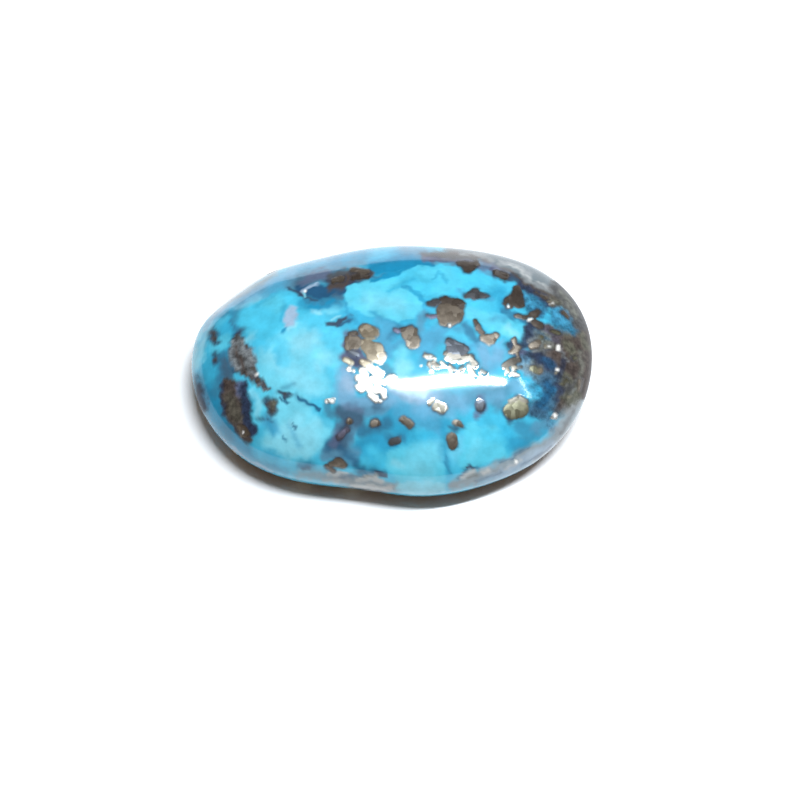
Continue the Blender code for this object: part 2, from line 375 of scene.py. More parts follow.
# Steel and deeper blue lie between the patches, and two more bright ones fill the front.
BETWEEN = (
    (STEEL_SKY, 0.5, 1.0, (384, 336, 9), (388, 352, 8), (440, 334, 9), (460, 334, 8), (470, 344, 7)),
    (STEEL_SKY, 0.5, 0.9, (426, 346, 9), (434, 340, 8), (424, 360, 6)),
    (CLEAN_SKY, 0.4, 0.8, (448, 334, 4), (462, 336, 5), (470, 340, 4)),
    (BRIGHT_SKY, 0.5, 0.9, (400, 356, 8), (402, 368, 8), (392, 364, 6)),
    (PALE_SKY, 0.5, 0.7, (404, 352, 5), (398, 366, 5), (412, 368, 4)),
    (SEA_BLUE, 0.4, 0.8, (392, 334, 5), (398, 328, 4)),
    (STEEL_SKY, 0.4, 0.8, (378, 322, 4), (390, 326, 4)),
    (MILK_BLUE, 0.5, 0.9, (482, 350, 7), (488, 364, 8), (500, 352, 6)),
    (MILK_BLUE, 0.4, 0.6, (494, 346, 4), (500, 342, 3)),
    (CLEAR_SKY, 0.5, 0.5, (492, 368, 6), (496, 373, 4)),
    (SEA_BLUE, 0.3, 0.9, (465, 324, 4), (470, 332, 5), (476, 342, 4)),
    (GREY_BLUE, 0.3, 0.7, (424, 312, 3), (420, 330, 3)),
    (CLEAR_BLUE, 0.5, 0.9, (382, 420, 9), (404, 432, 9), (388, 408, 7)),
    (STEEL_SKY, 0.5, 0.9, (400, 412, 9), (430, 420, 9), (440, 430, 8), (424, 404, 7)),
    (MILK_BLUE, 0.5, 0.6, (418, 410, 6), (450, 414, 6)),
    (SEA_BLUE, 0.5, 0.95, (362, 430, 8), (374, 434, 8), (386, 424, 6)),
    (CLEAR_BLUE, 0.4, 1.0, (358, 450, 8), (376, 444, 11), (390, 446, 9)),
    (CLEAR_SKY, 0.35, 0.9, (370, 452, 8), (384, 460, 9)),
    (CLEAN_SKY, 0.35, 0.7, (372, 452, 4), (386, 464, 5)),
    (INDIGO, 0.4, 0.8, (350, 458, 4), (360, 470, 4), (376, 472, 4)),
    (BRIGHT_SKY, 0.25, 1.0, (398, 462, 13), (420, 456, 18), (434, 470, 12), (404, 474, 9)),
    (PALE_SKY, 0.5, 0.7, (396, 464, 6), (412, 470, 7), (430, 474, 7)),
    (CHALK_BLUE, 0.3, 0.6, (394, 462, 3), (402, 467, 3)),
    (CLEAR_SKY, 0.4, 0.8, (414, 436, 6), (436, 440, 5)),
    (SKY, 0.35, 0.4, (404, 446, 4), (424, 444, 4)),
    (CHALK_BLUE, 0.8, 0.35, (418, 458, 12), (488, 442, 13)),
    (BRIGHT_SKY, 0.25, 1.0, (472, 428, 8), (476, 444, 13), (492, 442, 15), (498, 452, 9), (466, 460, 8)),
    (CLEAN_SKY, 0.4, 0.7, (486, 434, 6), (500, 440, 6)),
    (PALE_SKY, 0.4, 0.5, (476, 442, 5), (470, 458, 4)),
    (CLEAR_SKY, 0.5, 0.8, (506, 432, 7), (512, 444, 6)),
    (CLEAR_BLUE, 0.4, 0.8, (446, 424, 4), (445, 446, 3), (446, 460, 3), (449, 474, 2)),
    (SEA_BLUE, 0.15, 0.6, (446, 456, 1.2), (447, 466, 1.2), (450, 473, 1)),
    (SEA_BLUE, 0.5, 0.7, (522, 428, 8), (532, 432, 8), (518, 448, 6)),
    (CLEAR_BLUE, 0.4, 0.8, (514, 442, 5), (524, 446, 4)),
    (GREY_BLUE, 0.4, 0.8, (540, 428, 7), (552, 422, 6)),
    (CLEAR_SKY, 0.4, 0.5, (546, 432, 5), (556, 424, 4)),
)
clouds(BETWEEN)

# Milky and violet grey blue lies around the middle of the front, where the host rock is near the skin.
FRONT_HAZE = (
    (CHALK_BLUE, 0.6, 0.8, (404, 368, 8), (400, 376, 8)),
    (MILK_BLUE, 0.7, 0.9, (400, 394, 10), (440, 400, 9), (462, 402, 9)),
    (LAVENDER, 0.5, 0.7, (392, 388, 7), (412, 393, 10), (436, 398, 6)),
    # The palest rows here lie on and just under the lamp's streak: partly milky stone, partly painted
    # glare of the streak.
    (HAZE_AND_GLARE_WHITE, 0.4, 0.85, (394, 386, 5), (408, 389, 8), (424, 391, 6)),
    (HAZE_AND_GLARE_WHITE, 0.3, 0.6, (388, 378, 4), (396, 380, 4)),
    (GREY_BLUE, 0.6, 0.8, (474, 396, 8), (492, 392, 8), (506, 392, 8), (500, 404, 7)),
    (MILK_BLUE, 0.5, 0.6, (488, 400, 5), (500, 398, 5)),
    (MILK_BLUE, 0.6, 1.0, (346, 374, 9), (346, 388, 10), (340, 396, 6)),
    (LAVENDER, 0.6, 0.65, (346, 380, 6), (350, 390, 6)),
    (MILK_BLUE, 0.5, 1.0, (348, 400, 9), (360, 404, 8), (378, 403, 8), (390, 402, 6)),
    (GREY_BLUE, 0.5, 0.9, (352, 410, 6), (366, 412, 6), (382, 410, 5)),
    (DUSK_VIOLET, 0.5, 0.6, (346, 408, 6), (360, 412, 6)),
    (SLATE_BLUE, 0.4, 1.0, (338, 410, 5), (348, 417, 8), (358, 420, 7), (342, 426, 8)),
    (GREY_BLUE, 0.4, 1.0, (344, 432, 10), (338, 446, 12), (328, 454, 8), (350, 456, 9)),
    (STEEL_SKY, 0.4, 0.5, (350, 460, 7)),
    (SLATE_BLUE, 0.4, 0.9, (344, 430, 7), (340, 442, 8)),
    (NAVY, 0.4, 0.6, (345, 428, 5), (336, 438, 5), (330, 446, 4)),
    (INDIGO, 0.4, 0.7, (326, 450, 4), (328, 440, 4), (356, 462, 4)),
    (DUSK_VIOLET, 0.3, 0.6, (332, 444, 4), (336, 432, 4)),
    (DUSK_VIOLET, 0.25, 1.0, (350, 346, 8), (354, 356, 9), (366, 364, 6), (344, 358, 5)),
    (LAVENDER, 0.25, 0.4, (352, 352, 5)),
    (DUSK_VIOLET, 0.3, 0.8, (360, 338, 5), (348, 336, 5)),
    (NAVY, 0.2, 0.7, (348, 352, 3), (356, 362, 3), (356, 346, 3)),
    (GREY_BLUE, 0.3, 0.7, (384, 366, 4), (390, 376, 5)),
    (SLATE_BLUE, 0.3, 0.6, (326, 404, 4), (330, 414, 4)),
    (DUSK_VIOLET, 0.3, 0.8, (480, 398, 4), (482, 408, 6), (476, 414, 4)),
    (MILK_BLUE, 0.4, 0.7, (512, 384, 5), (520, 392, 5)),
    (SLATE_BLUE, 0.3, 0.7, (384, 398, 3), (378, 408, 4)),
)
clouds(FRONT_HAZE)

# Hair cracks and threads of rock cross the chalky part and the patches.
THREADS = (
    (NAVY, 0.12, 0.95, (328, 324, 2), (336, 327, 2.5), (341, 321, 2), (350, 316, 2.5)),
    (INDIGO, 0.12, 0.9, (338, 327, 1.5), (346, 323, 1.5), (352, 320, 2)),
    (CHALK_BLUE, 0.12, 0.8, (332, 321, 1.2), (340, 317, 1.2)),
    (CLEAR_BLUE, 0.15, 0.8, (343, 299, 1.5), (346, 309, 2), (350, 316, 2), (356, 322, 2.5)),
    (INDIGO, 0.12, 0.95, (299, 397, 2), (307, 404, 1.5), (312, 406, 1.5), (319, 410, 2)),
    (SEA_BLUE, 0.3, 0.5, (296, 396, 3), (308, 405, 3)),
    (INDIGO, 0.15, 0.85, (284, 398, 1.5), (288, 404, 2), (280, 400, 1.5)),
    (SEA_BLUE, 0.3, 0.5, (284, 388, 2), (296, 384, 2)),
    (INDIGO, 0.12, 0.9, (292, 424, 1.2), (297, 427, 1.8)),
    (SEA_BLUE, 0.12, 0.8, (283, 434, 1.2), (286, 440, 1.8)),
    (CHALK_BLUE, 0.12, 0.8, (289, 421, 1), (294, 428, 1)),
    (NAVY, 0.12, 1.0, (462, 468, 1.5), (472, 467, 1.5)),
    (NAVY, 0.15, 0.9, (303, 467, 2.5), (310, 468, 2)),
    (SEA_BLUE, 0.35, 0.8, (300, 464, 4), (312, 466, 4)),
    (NAVY, 0.15, 0.9, (376, 472, 2.5), (384, 474, 3)),
    (NAVY, 0.12, 0.9, (566, 425, 1.5)),
    (NAVY, 0.25, 0.9, (264, 402, 3.5), (266, 406, 2.5)),
    (NAVY, 0.25, 0.8, (511, 420, 4)),
    (NAVY, 0.2, 0.8, (452, 428, 2), (458, 430, 2)),
    (SEA_BLUE, 0.3, 0.6, (388, 438, 4), (402, 436, 4)),
    (NAVY, 0.2, 0.7, (256, 418, 1.5), (262, 420, 1.5), (270, 421, 1.2)),
)
clouds(THREADS)

# The right end is mostly host rock: grey brown and olive, with islands of blue left in it. It is more
# porous than the turquoise and takes a duller polish.
ROCK_DULLNESS = 1.0
RIGHT_END = (
    (ROCK_GREY, 0.5, 1.0, (548, 345, 20), (562, 366, 26), (574, 384, 18), (566, 400, 14)),
    (ROCK_BROWN, 0.3, 1.0, (530, 330, 5), (546, 330, 8), (562, 344, 14), (580, 342, 12), (584, 362, 12)),
    (ROCK_BROWN, 0.4, 0.9, (560, 352, 9), (568, 370, 9), (582, 372, 8)),
    (DUSK_VIOLET, 0.4, 0.3, (548, 330, 5), (556, 342, 5)),
    (GREY_BLUE, 0.4, 0.6, (530, 334, 7), (542, 338, 7)),
    (ROCK_PALE, 0.4, 0.8, (534, 338, 5), (542, 345, 6), (538, 352, 5)),
    (ROCK_OLIVE, 0.4, 0.8, (566, 402, 8), (576, 400, 7), (580, 388, 6)),
    (ROCK_OLIVE, 0.3, 0.8, (562, 330, 4), (576, 336, 4)),
    (ROCK_OLIVE, 0.3, 0.7, (576, 354, 4), (582, 366, 3)),
    (ROCK_GREY, 0.3, 1.0, (524, 284, 5), (538, 291, 7), (556, 300, 12), (572, 312, 13), (584, 328, 12)),
    (ROCK_BROWN, 0.3, 1.0, (584, 334, 12), (590, 352, 14), (590, 372, 12), (584, 392, 8)),
    (ROCK_OLIVE, 0.3, 0.9, (542, 294, 5), (554, 302, 7), (566, 312, 6)),
    (ROCK_PALE, 0.3, 0.6, (560, 304, 3), (568, 312, 3)),
    (NAVY, 0.25, 1.0, (521, 285, 4), (530, 291, 6), (540, 299, 5), (545, 307, 4)),
    (
        NAVY, 0.3, 0.95,
        (530, 322, 4), (528, 334, 5), (524, 345, 5), (510, 344, 5), (524, 356, 6), (534, 358, 5),
    ),
    (DUSK_VIOLET, 0.3, 0.7, (512, 352, 4), (522, 352, 4)),
    (SEA_BLUE, 0.35, 1.0, (556, 316, 7), (565, 322, 8), (573, 330, 5)),
    (STEEL_SKY, 0.4, 0.6, (560, 314, 5), (568, 322, 5)),
    (SEA_BLUE, 0.3, 1.0, (524, 298, 6), (533, 304, 8), (540, 312, 6)),
    (STEEL_SKY, 0.3, 0.6, (526, 296, 3), (532, 303, 3.5)),
    (MILK_BLUE, 0.4, 0.9, (520, 362, 6), (530, 368, 8)),
    (GREY_BLUE, 0.4, 0.9, (538, 376, 8)),
    (SLATE_BLUE, 0.5, 0.95, (548, 382, 10), (546, 398, 9), (552, 408, 8), (538, 406, 8)),
    (ROCK_PALE, 0.4, 0.6, (526, 366, 5), (534, 372, 5), (544, 356, 4)),
    (NAVY, 0.3, 1.0, (541, 357, 6), (548, 365, 7)),
    (INDIGO, 0.3, 0.6, (546, 360, 4), (552, 368, 4)),
    (CLEAR_BLUE, 0.3, 0.8, (534, 388, 7), (540, 394, 4)),
    (STEEL_SKY, 0.3, 0.7, (532, 388, 4), (536, 394, 3)),
    (INDIGO, 0.35, 0.9, (546, 384, 4), (550, 391, 5), (534, 412, 5), (543, 413, 5)),
    (SLATE_BLUE, 0.3, 0.8, (530, 410, 4), (546, 418, 5)),
    (ROCK_BROWN, 0.3, 0.8, (558, 412, 5), (562, 406, 5)),
    (NAVY, 0.2, 0.8, (556, 386, 3), (562, 392, 3), (556, 400, 3)),
    (ROCK_PALE, 0.2, 0.8, (564, 386, 2), (560, 380, 2)),
    (ROCK_PALE, 0.2, 0.7, (540, 330, 2), (550, 336, 2.5)),
    (ROCK_ASH, 0.2, 0.7, (530, 340, 3), (536, 350, 2)),
    (ROCK_PALE, 0.2, 0.8, (546, 343, 4), (552, 346, 3)),
    (ROCK_PALE, 0.2, 0.7, (532, 364, 4), (540, 370, 4)),
    (ROCK_OLIVE, 0.2, 0.8, (566, 342, 4), (572, 350, 4)),
    (ROCK_BROWN, 0.2, 0.8, (556, 348, 4), (552, 354, 3)),
    (ROCK_OLIVE, 0.2, 0.8, (560, 374, 4), (568, 380, 4)),
    (ROCK_ASH, 0.15, 0.6, (562, 352, 1.5), (570, 362, 1.5)),
    (NAVY, 0.2, 0.8, (564, 360, 2.5), (556, 378, 3)),
    (GREY_BLUE, 0.3, 0.8, (550, 426, 5), (557, 430, 4)),
)
clouds(RIGHT_END, ROCK_DULLNESS)

# Grey rock runs along the girdle, brown and ash behind and ash in front. The pale ash, white and
# lavender streaks along the rim are partly worn rock and partly painted reflection of the white table.
GIRDLE = (
    (GREY_BLUE, 0.5, 0.9, (402, 249, 4), (420, 251, 5), (430, 252, 5)),
    (ROCK_GREY, 0.35, 1.0, (424, 255, 4), (444, 255, 6), (464, 259, 6), (482, 262, 5)),
    (ROCK_GREY, 0.35, 0.9, (452, 245, 8), (480, 250, 10), (506, 260, 12), (530, 271, 13), (552, 284, 11)),
    (GREY_BLUE, 0.3, 0.9, (482, 266, 5), (490, 270, 5), (497, 274, 4)),
    (STEEL_SKY, 0.3, 0.6, (480, 268, 3), (488, 270, 3)),
    (NAVY, 0.2, 0.9, (430, 257, 3), (440, 257, 2.5)),
    (NAVY, 0.2, 0.9, (494, 268, 3), (508, 277, 4), (520, 281, 3.5)),
    (DUSK_VIOLET, 0.25, 0.7, (486, 262, 3), (498, 269, 3), (424, 258, 3)),
    (ROCK_BROWN, 0.15, 0.8, (452, 253, 1.5), (470, 256, 2), (488, 261, 1.5)),
    (ROCK_BROWN, 0.15, 0.8, (500, 268, 1.2), (514, 275, 1.6), (528, 282, 1.4)),
    (ROCK_BROWN, 0.15, 0.7, (530, 284, 1.2), (544, 293, 1.5), (556, 301, 1.2)),
    (ROCK_ASH, 0.2, 0.85, (460, 254, 1.5), (478, 256, 2), (492, 260, 1.6)),
    (ROCK_ASH, 0.2, 0.9, (500, 261, 2.5), (516, 267, 3), (530, 275, 3)),
    (ROCK_ASH, 0.2, 0.9, (524, 277, 1.8), (540, 285, 2.4), (552, 293, 2)),
    (WHITE_ROCK_AND_REFLECTION, 0.15, 0.7, (506, 264, 1.2), (518, 270, 1.5), (532, 279, 1.2)),
    (WHITE_ROCK_AND_REFLECTION, 0.15, 0.6, (540, 281, 1.2), (552, 290, 1.5)),
    (ROCK_ASH, 0.4, 0.9, (336, 478, 4), (352, 482, 6), (378, 487, 7), (396, 488, 5)),
    (WHITE_ROCK_AND_REFLECTION, 0.2, 0.8, (352, 486, 2), (366, 488, 2.5), (384, 490, 2.5)),
    (WHITE_ROCK_AND_REFLECTION, 0.2, 0.7, (324, 480, 1.5), (338, 482, 1.8)),
    (ROCK_ASH, 0.5, 0.7, (300, 474, 4), (320, 476, 5), (340, 478, 5)),
    (ROCK_ASH, 0.4, 0.9, (454, 484, 5), (474, 479, 7), (498, 471, 8), (522, 461, 9), (546, 448, 9)),
    (ROCK_ASH, 0.4, 0.9, (556, 438, 9), (568, 422, 9), (578, 404, 7)),
    (LAVENDER, 0.3, 0.6, (490, 477, 3), (512, 468, 4), (534, 457, 4), (552, 444, 4)),
    (MILK_BLUE, 0.35, 0.6, (480, 482, 3), (506, 475, 3), (530, 464, 3)),
    (CHALK_BLUE, 0.3, 0.9, (404, 489, 6), (422, 489, 7), (440, 487, 6)),
    (CLEAR_BLUE, 0.4, 0.8, (208, 424, 4), (228, 446, 4), (252, 461, 4.5), (284, 471, 4)),
    (LAVENDER, 0.15, 0.6, (205, 419, 1.5), (221, 440, 1.5), (244, 459, 1.5), (272, 472, 1.5)),
    (WHITE_ROCK_AND_REFLECTION, 0.2, 0.95, (358, 479, 3), (371, 477, 4), (381, 481, 2.5)),
    (ROCK_OLIVE, 0.15, 0.6, (364, 476, 1.2), (376, 475, 1.2)),
    (WHITE_ROCK_AND_REFLECTION, 0.15, 0.95, (356, 486, 1.6), (376, 488, 2), (392, 489, 2)),
    (WHITE_ROCK_AND_REFLECTION, 0.2, 0.95, (462, 476, 2.5), (471, 472, 3)),
    (WHITE_ROCK_AND_REFLECTION, 0.2, 0.9, (482, 473, 2.2), (489, 470, 2)),
    (ROCK_OLIVE, 0.15, 0.6, (466, 478, 1.2), (476, 475, 1.2)),
    (WHITE_ROCK_AND_REFLECTION, 0.15, 0.8, (329, 475, 1.5), (345, 474, 1.8)),
    (SLATE_BLUE, 0.15, 0.8, (458, 477, 1.2), (468, 468, 1.5), (478, 468, 1)),
    (SLATE_BLUE, 0.15, 0.7, (474, 482, 1), (488, 477, 1.3), (500, 472, 1)),
    (SLATE_BLUE, 0.15, 0.8, (500, 463, 1), (516, 456, 1.4), (530, 448, 1)),
    (SLATE_BLUE, 0.15, 0.6, (520, 466, 1), (538, 457, 1.2), (552, 446, 1)),
    (SLATE_BLUE, 0.15, 0.7, (340, 478, 1), (352, 477, 1.5), (364, 474, 1)),
    (SLATE_BLUE, 0.15, 0.7, (352, 489, 1), (370, 491, 1.2), (384, 492, 1)),
    (WHITE_ROCK_AND_REFLECTION, 0.15, 0.6, (504, 468, 1.2), (520, 461, 1.5), (514, 463, 1.8)),
    (ROCK_GREY, 0.2, 0.6, (560, 432, 2), (568, 420, 2), (574, 410, 2)),
)
clouds(GIRDLE)

# At the right end the rock reaches round the girdle, brown and matt, with olive and pale grains.
RIGHT_RIM = (
    (ROCK_GREY, 0.35, 1.0, (558, 288, 9), (572, 302, 10), (586, 320, 10)),
    (ROCK_BROWN, 0.35, 1.0, (590, 338, 11), (594, 356, 12), (592, 376, 11), (586, 392, 7)),
    (ROCK_OLIVE, 0.3, 0.9, (582, 334, 4), (586, 346, 4)),
    (ROCK_PALE, 0.25, 0.8, (560, 292, 2.5), (568, 303, 3), (576, 314, 2.5)),
    (ROCK_PALE, 0.25, 0.7, (580, 352, 2), (583, 366, 2), (578, 380, 2.5)),
    (ROCK_OLIVE, 0.25, 0.9, (574, 392, 3), (580, 384, 2.5)),
    (ROCK_ASH, 0.2, 0.7, (571, 396, 2), (576, 389, 1.5)),
    (ROCK_OLIVE, 0.3, 0.9, (572, 400, 5), (578, 396, 5)),
)
clouds(RIGHT_RIM, ROCK_DULLNESS)

# The brown seam of host rock down the left end is coarse above and smoother below. Dark spots lie
# beside it. The dark blue along that end's rim is a painted reflection of the shaded table.
SEAM = (
    (SEA_BLUE, 0.4, 0.8, (196, 378, 5), (199, 392, 7), (206, 410, 4)),
    (NAVY, 0.3, 0.9, (198, 388, 4), (200, 398, 5), (205, 409, 3)),
    (NAVY, 0.25, 0.9, (213, 334, 5), (215, 341, 4)),
    (ROCK_BROWN, 0.15, 0.9, (213, 333, 2.5), (215, 339, 2.5)),
    (NAVY, 0.25, 0.9, (215.5, 355, 3.5), (216, 361, 4)),
    (ROCK_BROWN, 0.15, 0.8, (216, 358, 2.2)),
    (NAVY, 0.25, 0.75, (271, 404, 6.5), (271, 412, 6)),
    (ROCK_BROWN, 0.25, 0.9, (270, 405, 4.5), (271, 411, 4.5)),
    (ROCK_OLIVE, 0.2, 0.9, (273, 404, 2.5), (272, 409, 2)),
    (NAVY, 0.2, 0.9, (281, 393, 2.5), (286, 396, 3.5), (291, 394, 2)),
    (ROCK_BROWN, 0.15, 0.6, (285, 395, 2)),
    (NAVY, 0.2, 0.9, (236, 342, 7), (232, 352, 3), (234, 368, 3)),
    (ROCK_GREY, 0.15, 1.0, (237, 341, 5.5), (241, 353, 10.5), (245, 365, 11), (252, 377, 6)),
    (ROCK_GREY, 0.15, 1.0, (256, 381, 5), (263, 387, 4.5), (269, 390, 2)),
    (ROCK_ASH, 0.15, 0.55, (240, 344, 4), (248, 354, 6.5), (251, 364, 6), (253, 374, 4)),
    (ROCK_ASH, 0.15, 0.9, (233, 345, 2.5), (232, 356, 2), (235, 366, 2.5)),
    (ROCK_ASH, 0.15, 0.7, (244, 347, 1.5), (250, 358, 2)),
    (ROCK_BROWN, 0.12, 0.9, (237, 349, 2), (240, 358, 1.6), (241, 368, 2), (246, 377, 2.5)),
    (ROCK_BROWN, 0.12, 0.8, (251, 378, 2), (257, 384, 2)),
    (ROCK_ASH, 0.15, 0.7, (260, 386, 2), (266, 389, 1.5)),
    (ROCK_BROWN, 0.2, 1.0, (230, 386, 9), (232, 400, 11.5), (236, 414, 11), (242, 428, 8), (248, 438, 5)),
    (ROCK_OLIVE, 0.5, 0.5, (230, 398, 6), (238, 418, 6)),
    (DUSK_VIOLET, 0.25, 0.9, (240, 384, 4), (242, 394, 4)),
    (NAVY, 0.2, 1.0, (243, 384, 3), (247, 400, 4.5), (247, 418, 4), (252, 432, 4)),
    (NAVY, 0.15, 0.8, (222, 384, 2), (221, 396, 2), (225, 414, 2)),
)
clouds(SEAM, ROCK_DULLNESS)

# The sides and the back that the picture doesn't show carry on in the same way, by chance. The rock of
# the right end reaches down there, and the flat back is brown host rock, as is usual in such stones.
CHANCE_SEED = 12
HIDDEN_CLOUDS = 130
HIDDEN_BLUES = (CHALK_BLUE, PALE_SKY, BRIGHT_SKY, CLEAN_SKY, CLEAR_BLUE, DEEP_BLUE, SLATE_BLUE)
HIDDEN_FACING = -0.1
HIDDEN_FADE = 0.3
HIDDEN_STRENGTH = 0.9
START_RADII = (0.3, 1.1)
END_RADII = (0.2, 0.7)
SOFTNESS_RANGE = (0.2, 0.6)

chance = random.Random(CHANCE_SEED)
hidden = np.flatnonzero(facing_camera < HIDDEN_FACING)
for _ in range(HIDDEN_CLOUDS):
    colour = chance.choice((*HIDDEN_BLUES, ROCK_GREY))
    start = places[chance.choice(hidden)]
    run = np.array([chance.uniform(-1, 1) for _ in range(3)])
    beads = [(start, chance.uniform(*START_RADII)), (start + run, chance.uniform(*END_RADII))]
    share = cover(depth_in_chain(cloud_places, beads), chance.uniform(*SOFTNESS_RANGE))
    tint(colour, HIDDEN_STRENGTH * np.clip(-facing_camera / HIDDEN_FADE, 0, 1) * share)

ROCK_END = 6.8
ROCK_END_WAVER = 0.8
ROCK_END_WAVER_SIZE = 1.5
ROCK_END_SOFTNESS = 0.8
ROCK_END_FADE = 0.15
ROCK_END_STRENGTH = 0.95

rock_reach = places[:, 0] - ROCK_END + ROCK_END_WAVER * wavering(places, ROCK_END_WAVER_SIZE, seed=7)
hidden_rock = np.clip(-facing_camera / ROCK_END_FADE, 0, 1) * cover(rock_reach, ROCK_END_SOFTNESS)
tint(ROCK_GREY, ROCK_END_STRENGTH * hidden_rock, ROCK_DULLNESS)

BROWN_BACK_HEIGHT = 0.7
BACK_WAVER = 0.25
BACK_WAVER_SIZE = 2.2
BACK_FRAY = 0.1
BACK_FRAY_SIZE = 0.5
BACK_SOFTNESS = 0.25
BACK_STRENGTH = 0.97

ragged_height = places[:, 2] + BACK_WAVER * wavering(places, BACK_WAVER_SIZE, seed=4)
ragged_height += BACK_FRAY * wavering(places, BACK_FRAY_SIZE, seed=6)
brown_share = cover(BROWN_BACK_HEIGHT - ragged_height, BACK_SOFTNESS)
tint(ROCK_BROWN, BACK_STRENGTH * brown_share, ROCK_DULLNESS)


# The pyrite. Brassy grains of fool's gold grew in the turquoise and were ground flush with it. They
# shine like a metal and are harder than the stone, so the wheel leaves them a hundredth of a
# millimetre or two proud.
GRAIN_WANDER = 0.08
GRAIN_WANDER_SIZE = 0.4
GRAIN_RISE = 0.015
NO_GRAIN = -0.5

BRONZE = linear("#A69D8B")
DULL_BRONZE = linear("#8D857A")
# Pale gold is partly the brass of the grains and partly painted glint round bright points.
PALE_GOLD_AND_GLINT = linear("#BDB8A4")
OVAL_BRONZE = linear("#7B746A")
# Dark bronze is partly the darker tone of some grains and partly painted shade on the upper side of
# grains.
DARK_AND_SHADED_BRONZE = linear("#77706A")
DARK_STEEL = linear("#7D848E")
# Near-white metal is painted highlight, put where the lamps glint on grains.
HIGHLIGHT_WHITE_METAL = linear("#F0EDE4")
STEEL_VIOLET = linear("#8688A2")
# Darker copies of the brass tones are painted shade, for grains where the lamps' broad reflection would
# light them too brightly.
SHADED_BRONZE = linear("#5F5C56")
SHADED_STEEL = linear("#4E5258")
SHADED_GOLD = linear("#8A877C")
SHADED_OLIVE = linear("#858570")

grain_places = places + GRAIN_WANDER * wandering(places, GRAIN_WANDER_SIZE, seed=3)
grains_in_picture = in_picture(grain_places)
grain_depth = np.full(len(places), NO_GRAIN)
grain_colour = np.tile(BRONZE, (len(places), 1))


def set_grain(colour, depth):
    """Sets a grain of pyrite in the stone, where it lies deeper than those already there."""
    ahead = depth > grain_depth
    grain_depth[ahead] = depth[ahead]
    grain_colour[ahead] = colour


def grains(rows):
    """Sets grains of pyrite in the stone. A row is a colour and discs, as for a cloud."""
    for colour, *discs in rows:
        depth = depth_in_discs(grains_in_picture, discs)
        set_grain(colour, np.where(facing_camera > 0, depth, NO_GRAIN))


# The large round nodule right of the middle, with its lobes and the dark grain beside it. Its dark upper
# lobes are painted shade, and the white point at its foot a painted glint.
NODULE = (
    (DULL_BRONZE, (448, 314, 12.5), (452, 313, 12)),
    (DARK_AND_SHADED_BRONZE, (445, 301, 6), (451, 302, 5), (459, 305, 6.5)),
    (DARK_STEEL, (429, 303, 3), (438, 303, 4)),
    (STEEL_VIOLET, (427, 316, 1.8), (435, 316, 2.5)),
    (DARK_STEEL, (466, 296, 3), (475, 294, 6.5), (486, 297, 3)),
    (HIGHLIGHT_WHITE_METAL, (449.5, 325, 2)),
)
grains(NODULE)

# The cluster left of the middle, from brassy grains at its top to near-white ones below, painted highlight
# where the lamp's streak falls on them.
CLUSTER = (
    (BRONZE, (367, 331, 8), (371, 332, 7.5)),
    (DULL_BRONZE, (349, 341, 5.5), (356, 343, 6.5), (348, 347, 4.5)),
    (DARK_AND_SHADED_BRONZE, (356, 334, 3), (350, 335, 3)),
    (BRONZE, (366, 345, 7), (374, 352, 10)),
    (DULL_BRONZE, (381, 356, 5.5)),
    (BRONZE, (374, 361, 2.2), (381, 362, 2.4)),
    (PALE_GOLD_AND_GLINT, (366, 339, 2), (374, 338, 2)),
    (DARK_STEEL, (349, 352, 2), (357, 354, 2.5)),
    (PALE_GOLD_AND_GLINT, (345, 360, 2.5), (350, 363, 3)),
    (HIGHLIGHT_WHITE_METAL, (349, 369, 2.5)),
    (BRONZE, (361, 361, 3), (368, 364, 3.5)),
    (HIGHLIGHT_WHITE_METAL, (362, 370, 3.6), (364, 375, 3.4)),
    (HIGHLIGHT_WHITE_METAL, (370, 367, 3.4), (373, 371, 4.2)),
    (HIGHLIGHT_WHITE_METAL, (377, 368, 2.4), (380, 373, 4)),
    (HIGHLIGHT_WHITE_METAL, (357, 378, 3.2)),
    (HIGHLIGHT_WHITE_METAL, (365, 381, 4.8), (360, 383, 3)),
    (HIGHLIGHT_WHITE_METAL, (373, 379, 4.2), (379, 382, 3.8)),
    (HIGHLIGHT_WHITE_METAL, (357, 387, 2.8), (362, 389, 3.6)),
    (HIGHLIGHT_WHITE_METAL, (369, 388, 4.2)),
    (HIGHLIGHT_WHITE_METAL, (377, 390, 4.6)),
    (HIGHLIGHT_WHITE_METAL, (383, 393, 3), (384, 397, 2.6)),
    (HIGHLIGHT_WHITE_METAL, (371, 396, 3.2), (376, 399, 3.6)),
    (HIGHLIGHT_WHITE_METAL, (380, 401, 1.8)),
    (HIGHLIGHT_WHITE_METAL, (384, 384, 2)),
    (HIGHLIGHT_WHITE_METAL, (387, 379, 2.2), (393, 376, 2.4)),
    (HIGHLIGHT_WHITE_METAL, (353, 371, 1.8)),
    (OVAL_BRONZE, (410, 334, 8), (413, 341, 8)),
    (DARK_AND_SHADED_BRONZE, (403, 330, 3.5), (411, 328, 3.5)),
    (STEEL_VIOLET, (395, 330, 2), (399, 331, 2.5)),
)
grains(CLUSTER)
